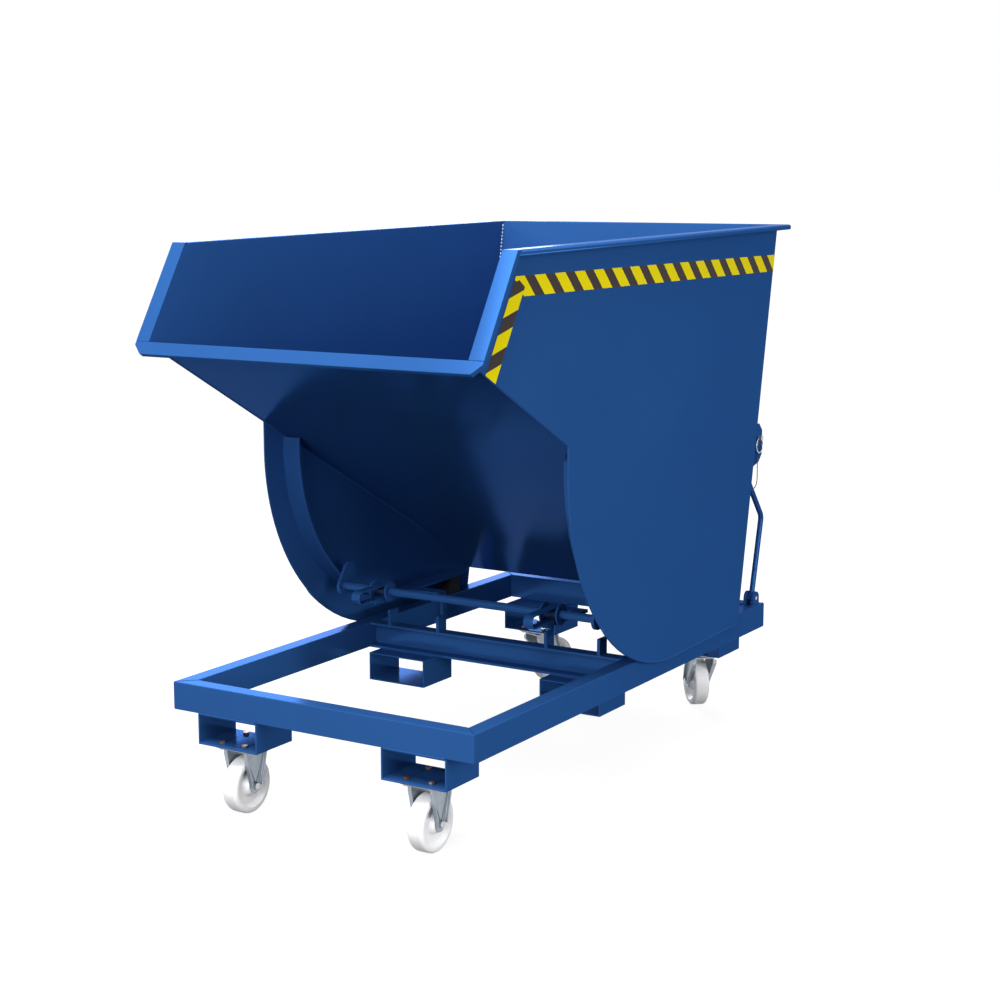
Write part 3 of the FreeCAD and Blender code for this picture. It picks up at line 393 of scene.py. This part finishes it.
def finishNode(name, finish):
    piece = nodes[name]
    for index in range(len(piece.data.materials)):
        piece.data.materials[index] = finish
    if not piece.data.materials:
        piece.data.materials.append(finish)
    width = edgeBreaksMm.get(name.split("_")[-1])
    if width is None:
        return
    weld = piece.modifiers.new("join", "WELD")
    weld.merge_threshold = edgeSettings["mergeMm"] / 1000
    bevel = piece.modifiers.new("edge", "BEVEL")
    bevel.width = width / 1000
    bevel.segments = 3 if width > edgeSettings["roundFromMm"] else 2
    bevel.limit_method = "ANGLE"
    bevel.angle_limit = math.radians(edgeSettings["sharpDeg"])
    bevel.harden_normals = False
    smooth = piece.modifiers.new("shade", "WEIGHTED_NORMAL")
    smooth.keep_sharp = False
    smooth.weight = edgeSettings["faceWeight"]


for row in frame["record"]["subparts"]:
    nodeFinish = finishes[row["material_slot"]]
    if row["node"] == "castor_bolts":
        nodeFinish = boltZinc
    if row["node"].endswith(("axle", "axles")):
        nodeFinish = steel
    finishNode(row["node"], nodeFinish)
print("CAD pieces finished")

# wire lanyard from the tab on the rear wall to the locking pin, route and diameter in metres
lanyardSettings = {
    "route": [(0.4940, 0.7535, 0.7710), (0.5030, 0.7535, 0.7710), (0.5110, 0.7625, 0.7695),
              (0.5135, 0.7775, 0.7730), (0.5120, 0.7935, 0.7825), (0.5080, 0.8075, 0.7970),
              (0.5030, 0.8185, 0.8160), (0.4990, 0.8265, 0.8380), (0.4970, 0.8320, 0.8620),
              (0.4965, 0.8345, 0.8915), (0.4965, 0.8345, 0.9190)],
    "diameter": 0.003, "stepsPerPoint": 10, "roundness": 4}


def makeLanyard():
    route, diameter = lanyardSettings["route"], lanyardSettings["diameter"]
    curve = bpy.data.curves.new("lanyardLine", "CURVE")
    curve.dimensions = "3D"
    curve.resolution_u = lanyardSettings["stepsPerPoint"]
    spline = curve.splines.new("NURBS")
    spline.points.add(len(route) - 1)
    for point, place in zip(spline.points, route):
        point.co = (*place, 1.0)
    spline.order_u = 3
    spline.use_endpoint_u = True
    line = bpy.data.objects.new("lanyardLine", curve)
    scene.collection.objects.link(line)

    def asMesh():
        bpy.context.view_layer.update()
        return bpy.data.meshes.new_from_object(line.evaluated_get(bpy.context.evaluated_depsgraph_get()))

    # the bare line gives the path, then the line gets its thickness
    path = [vertex.co.copy() for vertex in asMesh().vertices]
    curve.bevel_depth = diameter / 2
    curve.bevel_resolution = lanyardSettings["roundness"]
    curve.use_fill_caps = True
    piece = bpy.data.objects.new("wireLanyard", asMesh())
    bpy.data.objects.remove(line)
    scene.collection.objects.link(piece)
    piece.data.materials.append(rope)
    for face in piece.data.polygons:
        face.use_smooth = True
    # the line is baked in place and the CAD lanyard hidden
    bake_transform(piece)
    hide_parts("lanyard")


makeLanyard()


# skin of faces over a row of rings of points, closed at both ends
def skinRings(mesh, rings):
    loops = [[mesh.verts.new(point) for point in ring] for ring in rings]
    count = len(rings[0])
    for before, after in zip(loops, loops[1:]):
        for k in range(count):
            n = (k + 1) % count
            mesh.faces.new((before[k], before[n], after[n], after[k]))
    mesh.faces.new(list(reversed(loops[0])))
    mesh.faces.new(loops[-1])


# a built mesh becomes a smooth piece that rides on its body
def addPiece(name, mesh, body, finish):
    bmesh.ops.recalc_face_normals(mesh, faces=mesh.faces)
    for face in mesh.faces:
        face.smooth = True
    data = bpy.data.meshes.new(name)
    mesh.to_mesh(data)
    mesh.free()
    data.materials.append(finish)
    piece = bpy.data.objects.new(name, data)
    scene.collection.objects.link(piece)
    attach(piece, body)
    return piece


# rim folded out of the wall sheets: one rounded tube round three sides, its inner skin running into the walls
rimSettings = {"heightMm": 16.0, "innerRoundMm": 2.0, "topRoundMm": 6.5, "footRoundMm": 4.0,
               "cornerRoundMm": 10.0, "skinDropMm": 100.0, "skinMm": 0.5, "coreMm": 2.0,
               "roundStepsDeg": (0, 22.5, 45, 67.5, 90), "mergeMm": 0.01, "broadFaceMm2": 5000}


def makeRim():
    rearLow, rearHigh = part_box("rear_rim")
    sideLow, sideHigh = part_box("right_rim")
    inside, front = rearHigh.x, rearLow.y  # where the rim starts at the sides and at the rear
    wide, deep = sideHigh.x - inside, rearHigh.y - front  # how far it stands out there
    tall, inner, top, foot, corner, drop, skin, core, merge = (rimSettings[key] / 1000 for key in (
        "heightMm", "innerRoundMm", "topRoundMm", "footRoundMm", "cornerRoundMm", "skinDropMm", "skinMm",
        "coreMm", "mergeMm"))
    slope, lean, wall = (math.tan(math.radians(skipFaces[key])) for key in (
        "rimRiseDeg", "mouthLeanDeg", "wallLeanDeg"))
    quarter = [math.radians(step) for step in rimSettings["roundStepsDeg"]]
    # one section: outward step at the sides, outward step at the rear, height above the rim's foot
    section = [(skin, skin - drop * wall, -drop)]
    for turn in quarter:
        out = inner - skin - inner * math.cos(turn)
        section.append((out, out, tall - inner + inner * math.sin(turn)))
    for turn in quarter:
        short = top - top * math.sin(turn)
        section.append((wide - short, deep - short, tall - top + top * math.cos(turn)))
    for turn in quarter:
        short = foot - foot * math.cos(turn)
        section.append((wide - short, deep - short, foot - foot * math.sin(turn)))
    section += [(core, core, 0.0), (core, core - drop * wall, -drop)]

    def onSlope(x, y, rise):
        return Vector((x, y, rearHigh.z - tall + rise - (rearHigh.y - y) * slope))

    # from the left end at the mouth round both rear corners to the right end
    rings = []
    for side in (-1, 1):
        mouthEnd = []
        for out, _, rise in section:
            y = sideLow.y + rise * lean / (1 - lean * slope)
            mouthEnd.append(onSlope(side * (inside + out), y, rise))
        part = [mouthEnd]
        for turn in quarter:
            ring = []
            for out, back, rise in section:
                bend = corner * max(0.0, out / wide)
                x = inside + out - bend + bend * math.cos(turn)
                y = front + back - bend + bend * math.sin(turn)
                ring.append(onSlope(side * x, y, rise))
            part.append(ring)
        rings += part if side < 0 else list(reversed(part))
    mesh = bmesh.new()
    skinRings(mesh, rings)
    bmesh.ops.remove_doubles(mesh, verts=mesh.verts, dist=merge)
    bmesh.ops.dissolve_degenerate(mesh, edges=mesh.edges, dist=merge)
    piece = addPiece("skipRim", mesh, "tub", paint)
    for face in piece.data.polygons:
        face.use_smooth = face.area < rimSettings["broadFaceMm2"] / 1e6  # only the rounded strips run smooth
    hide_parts("left_rim", "right_rim", "rear_rim")


# weld seams: a rippled bead laid along each joint, half sunk into the corner,
# thinner by the dip between two ripples and down to the end share at both ends
seamSettings = {"rippleMm": 7.0, "dip": 0.22, "endShare": 0.45, "sides": 8}


def addBead(mesh, points, radiusMm, rippleMm=seamSettings["rippleMm"], dip=seamSettings["dip"]):
    points = [Vector(point) for point in points]
    turns = [2 * math.pi * k / seamSettings["sides"] for k in range(seamSettings["sides"])]
    rings = []
    for start, end in zip(points, points[1:]):
        direction = end - start
        steps = max(2, round(direction.length * 1000 / rippleMm) * 2)
        forward = direction.normalized()
        side = forward.orthogonal().normalized()
        up = forward.cross(side)
        for step in range(1 if rings else 0, steps + 1):
            swell = 1.0 if step % 2 else 1.0 - dip
            if not rings or (step == steps and end == points[-1]):
                swell = seamSettings["endShare"]
            centre = start + direction * step / steps
            radius = radiusMm / 1000 * swell
            rings.append([centre + (side * math.cos(turn) + up * math.sin(turn)) * radius for turn in turns])
    skinRings(mesh, rings)


# start and end of each dash of a broken seam, spread evenly over the line
def dashes(start, end, runMm, gapMm):
    start, end = Vector(start), Vector(end)
    length = (end - start).length * 1000
    count = max(1, int((length + gapMm) / (runMm + gapMm)))
    pitch = length / count
    for k in range(count):
        low = (k * pitch + (pitch - runMm) / 2) / length
        yield start.lerp(end, low), start.lerp(end, low + runMm / length)


# seams of the frame: bead radii and ripples in millimetres, places and gaps in metres
frameWelds = {"pocketMm": 2.6, "pocketGap": 0.006,
              "flangeMm": 2.6, "flangeGap": 0.003, "flangeSink": 0.001,
              "webMm": 2.8, "web": 0.006, "webOuterGap": 0.004, "webInnerGap": 0.010,
              "postMm": 2.4, "postPlaces": (0.194, 0.375), "postHalf": 0.005, "postGap": 0.002,
              "shelfMm": 2.4, "shelfGaps": (0.019, 0.001),
              "strapMm": 2.2, "strapGap": 0.002, "strapEnd": -0.156,
              "earMm": 2.2, "earRippleMm": 4, "ear": 0.008,
              "mitreMm": 1.3, "mitreRippleMm": 5, "mitreRun": (0.003, 0.048),
              "cornerMm": 2.4, "cornerIn": 0.05, "cornerGap": 0.003}


def frameSeams():
    weld = frameWelds
    mesh = bmesh.new()
    # pockets to the rails and the channel that they hang under
    for row, carrier in (("front", "front_rail"), ("rear", "rear_rail"), ("middle", "cross_channel")):
        carrierLow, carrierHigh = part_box(carrier)
        for side in ("left", "right"):
            pocketLow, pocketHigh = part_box(row + "_" + side + "_pocket")
            start, end = pocketLow.x + weld["pocketGap"], pocketHigh.x - weld["pocketGap"]
            for y in (carrierLow.y, carrierHigh.y):
                addBead(mesh, [(start, y, pocketHigh.z), (end, y, pocketHigh.z)], weld["pocketMm"])
    # channel to the side rails: along its top flange, then up both faces of its web
    low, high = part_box("cross_channel")
    top = high.z - weld["flangeSink"]
    for x in (low.x, high.x):
        addBead(mesh, [(x, low.y + weld["flangeGap"], top), (x, high.y, top)], weld["flangeMm"])
        for y, gap in ((high.y, weld["webOuterGap"]), (high.y - weld["web"], weld["webInnerGap"])):
            addBead(mesh, [(x, y, low.z + gap), (x, y, high.z - gap)], weld["webMm"])
    railFoot, railTop = (corner.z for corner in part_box("left_rail"))
    shelfLow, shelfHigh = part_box("right_bearing_shelf")
    strapLow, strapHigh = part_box("right_bearing_strap")
    for side in (-1, 1):
        # posts to the channel, on both faces
        start, end = low.y + weld["postGap"], high.y - weld["postGap"]
        for place in weld["postPlaces"]:
            for face in (-weld["postHalf"], weld["postHalf"]):
                x = side * place + face
                addBead(mesh, [(x, start, railTop), (x, end, railTop)], weld["postMm"])
        # bearing shelves to the inner posts
        x = side * (weld["postPlaces"][0] + weld["postHalf"])
        start, end = (high.y - gap for gap in weld["shelfGaps"])
        addBead(mesh, [(x, start, shelfLow.z), (x, end, shelfLow.z)], weld["shelfMm"])
        # bearing straps to their shelves
        start, end = shelfLow.y + weld["strapGap"], weld["strapEnd"]
        for x in (side * strapLow.x, side * strapHigh.x):
            addBead(mesh, [(x, start, shelfHigh.z), (x, end, shelfHigh.z)], weld["strapMm"])
    # lever ears to the rail
    earLow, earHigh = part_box("lever_ears")
    for x in (earLow.x, earHigh.x - weld["ear"]):
        for y in (earLow.y, earHigh.y):
            addBead(mesh, [(x, y, railTop), (x + weld["ear"], y, railTop)],
                    weld["earMm"], weld["earRippleMm"])
    # rail corners: the mitre across the top, and the inner corner from top to foot
    near, far = weld["mitreRun"]
    foot, head = railFoot + weld["cornerGap"], railTop - weld["cornerGap"]
    outerX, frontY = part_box("front_rail")[1].x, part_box("front_rail")[0].y
    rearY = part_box("rear_rail")[1].y

    def inCorner(signX, signY, inward, z):
        return (signX * (outerX - inward), (frontY if signY < 0 else rearY) - signY * inward, z)

    for corner in ((-1, -1), (-1, 1), (1, -1), (1, 1)):
        addBead(mesh, [inCorner(*corner, near, railTop), inCorner(*corner, far, railTop)],
                weld["mitreMm"], weld["mitreRippleMm"])
        addBead(mesh, [inCorner(*corner, weld["cornerIn"], foot), inCorner(*corner, weld["cornerIn"], head)],
                weld["cornerMm"])
    addPiece("frameSeams", mesh, "frame", paint)


# outer face of the rear wall
def wallY(z):
    footY, footZ = skipFaces["wallFoot"]
    return footY + (z - footZ) * math.tan(math.radians(skipFaces["wallLeanDeg"]))


# lower face of the floor
def floorZ(y):
    lipY, lipZ = skipFaces["lip"]
    return lipZ - (y - lipY) * math.tan(math.radians(skipFaces["floorFallDeg"]))


# seams of the skip: bead radii, ripples and dashes in millimetres, places in metres
tubWelds = {"floorMm": 2.6, "floorRippleMm": 9, "floorRun": (-0.915, 0.405), "floorSheet": 0.0046,
            "rimMm": 2.4, "rimRun": (-0.75, 0.89), "rimFoot": 1.5809, "dashMm": 60, "gapMm": 90,
            "catch_bracket": (2.4, 5), "lanyard_tab": (1.6, 4)}  # radius and ripple of each


def tubSeams():
    weld = tubWelds
    mesh = bmesh.new()
    slope = math.tan(math.radians(skipFaces["rimRiseDeg"]))
    for side in (-1, 1):
        # floor to side plates, below and inside
        x = side * skipFaces["inside"]
        for up in (0.0, weld["floorSheet"]):
            addBead(mesh, [(x, y, floorZ(y) + up) for y in weld["floorRun"]],
                    weld["floorMm"], weld["floorRippleMm"])
        # rim tube to side plate, underneath
        x = side * skipFaces["outside"]
        start, end = ((x, y, weld["rimFoot"] + y * slope) for y in weld["rimRun"])
        for dashStart, dashEnd in dashes(start, end, weld["dashMm"], weld["gapMm"]):
            addBead(mesh, [dashStart, dashEnd], weld["rimMm"])
    # catch and lanyard tab to the rear wall
    for name in ("catch_bracket", "lanyard_tab"):
        low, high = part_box(name)
        radiusMm, rippleMm = weld[name]
        for x in (low.x, high.x):
            addBead(mesh, [(x, wallY(z), z) for z in (low.z, high.z)], radiusMm, rippleMm)
    addPiece("tubSeams", mesh, "tub", paint)


# weld stitch up the inside of the rear corners, laid in bright steel as a painted highlight so that its
# ripples show as bright dots
stitchSettings = {"foot": 0.44, "head": 1.604, "wallSheet": 0.0041, "skinFoot": 1.496, "skinLean": 0.1675,
                  "radiusMm": 3.6, "pitchMm": 12.0, "stitchShare": 0.62}


# inner face of the rear wall, and above it the rim's skin
def insideY(z):
    low = min(z, stitchSettings["skinFoot"])
    return wallY(low) - stitchSettings["wallSheet"] + (z - low) * stitchSettings["skinLean"]


def cornerStitches():
    mesh = bmesh.new()
    pitch = stitchSettings["pitchMm"] / 1000
    stitchMm = stitchSettings["pitchMm"] * stitchSettings["stitchShare"]
    count = int((stitchSettings["head"] - stitchSettings["foot"]) / pitch)
    for x in (-skipFaces["inside"], skipFaces["inside"]):
        for k in range(count):
            low = stitchSettings["foot"] + k * pitch
            high = low + stitchMm / 1000
            addBead(mesh, [(x, insideY(z), z) for z in (low, high)], stitchSettings["radiusMm"], stitchMm / 2)
    addPiece("cornerStitches", mesh, "tub", steel)


# lower edges of the side plates, ground round: they carry the light as one bright line
plateEdgeSettings = {"x": 0.5155, "heel": (0.6605, 0.3495), "arcCentre": (0.1815, 0.968), "arcRadius": 0.6285,
                     "arcEndDeg": 44, "arcSteps": 11, "radiusMm": 3.8, "segmentMm": 40}


def plateEdges():
    mesh = bmesh.new()
    centreY, centreZ = plateEdgeSettings["arcCentre"]
    radius, steps = plateEdgeSettings["arcRadius"], plateEdgeSettings["arcSteps"]
    for x in (-plateEdgeSettings["x"], plateEdgeSettings["x"]):
        points = [(x, *plateEdgeSettings["heel"])]
        for step in range(steps + 1):
            turn = math.radians(plateEdgeSettings["arcEndDeg"]) * step / steps
            points.append((x, centreY - radius * math.sin(turn), centreZ - radius * math.cos(turn)))
        addBead(mesh, points, plateEdgeSettings["radiusMm"], plateEdgeSettings["segmentMm"], dip=0.0)
    addPiece("plateEdges", mesh, "tub", paint)


makeRim()
frameSeams()
tubSeams()
cornerStitches()
plateEdges()
print("rim, edges and weld seams laid")


# 1 for the rays that show a surface to the eye: straight, in a mirror or through glass
def seenByEye(tree):
    path = addNode(tree, "ShaderNodeLightPath")
    mirrored = addNode(tree, "ShaderNodeMath", {"operation": "MAXIMUM"},
                       links={0: path.outputs["Is Camera Ray"], 1: path.outputs["Is Glossy Ray"]})
    seen = addNode(tree, "ShaderNodeMath", {"operation": "MAXIMUM"},
                   links={0: mirrored.outputs[0], 1: path.outputs["Is Transmission Ray"]})
    return seen.outputs[0]


# floor and backdrop in one white sheet that keeps a soft shadow, lengths in metres
stageSettings = {"size": 400.0, "white": "#FFFFFF", "glow": 1.06, "bounce": "#242528",
                 "shadowShare": 0.16, "shadowNear": 2.2, "shadowFar": 6.5}


def makeStage():
    mesh = bpy.data.meshes.new("studioFloor")
    half = stageSettings["size"] / 2
    corners = [(-half, -half, 0), (half, -half, 0), (half, half, 0), (-half, half, 0)]
    mesh.from_pydata(corners, [], [(0, 1, 2, 3)])
    floor = bpy.data.objects.new("studioFloor", mesh)
    scene.collection.objects.link(floor)
    material = bpy.data.materials.new("studioPaper")
    material.use_nodes = True
    tree = material.node_tree
    tree.nodes.clear()
    # the eye sees glowing white with a share of lit paper, which fades out with the distance
    glow = addNode(tree, "ShaderNodeEmission",
                   values={"Color": hexColour(stageSettings["white"]), "Strength": stageSettings["glow"]})
    paper = addNode(tree, "ShaderNodeBsdfDiffuse", values={"Color": hexColour(stageSettings["white"])})
    place = addNode(tree, "ShaderNodeTexCoord").outputs["Object"]
    reach = addNode(tree, "ShaderNodeVectorMath", {"operation": "LENGTH"}, links={0: place})
    share = addNode(tree, "ShaderNodeMapRange", values={
        "From Min": stageSettings["shadowNear"], "From Max": stageSettings["shadowFar"],
        "To Min": stageSettings["shadowShare"], "To Max": 0.0}, links={"Value": reach.outputs["Value"]})
    shown = addNode(tree, "ShaderNodeMixShader",
                    links={0: share.outputs["Result"], 1: glow.outputs[0], 2: paper.outputs[0]})
    # the object gets back only a little light from below
    bounce = addNode(tree, "ShaderNodeBsdfDiffuse", values={"Color": hexColour(stageSettings["bounce"])})
    both = addNode(tree, "ShaderNodeMixShader",
                   links={0: seenByEye(tree), 1: bounce.outputs[0], 2: shown.outputs[0]})
    addNode(tree, "ShaderNodeOutputMaterial", links={"Surface": both.outputs[0]})
    mesh.materials.append(material)


# soft studio light: pale sky for fill, a broad lamp overhead a little to the front,
# weaker ones from the side, the front and behind
skySettings = {"white": "#FFFFFF", "fill": 0.4, "shown": 1.0}
lampSettings = {"top": {"place": (-0.2, -2.2, 5.9), "aim": (0, -0.1, 0.9), "size": 4.0, "power": 640},
                "side": {"place": (6.0, -1.5, 1.9), "aim": (0, 0, 0.9), "size": 3.2, "power": 205},
                "front": {"place": (1.0, -6.2, 2.6), "aim": (0, 0, 0.5), "size": 3.0, "power": 275},
                "back": {"place": (-4.6, 4.6, 3.0), "aim": (0, 0, 0.8), "size": 4.0, "power": 400}}


def makeLights():
    world = bpy.data.worlds.new("studioSky")
    scene.world = world
    world.use_nodes = True
    tree = world.node_tree
    tree.nodes.clear()
    strength = addNode(tree, "ShaderNodeMapRange",
                       values={"To Min": skySettings["fill"], "To Max": skySettings["shown"]},
                       links={"Value": seenByEye(tree)})
    sky = addNode(tree, "ShaderNodeBackground", values={"Color": hexColour(skySettings["white"])},
                  links={"Strength": strength.outputs["Result"]})
    addNode(tree, "ShaderNodeOutputWorld", links={"Surface": sky.outputs[0]})
    for name, lamp in lampSettings.items():
        data = bpy.data.lights.new(name + "Lamp", "AREA")
        data.size = lamp["size"]
        data.energy = lamp["power"]
        light = bpy.data.objects.new(name + "Lamp", data)
        light.location = lamp["place"]
        beam = Vector(lamp["aim"]) - Vector(lamp["place"])
        light.rotation_euler = beam.to_track_quat("-Z", "Y").to_euler()
        scene.collection.objects.link(light)


makeStage()
makeLights()
print("stage and lights set")
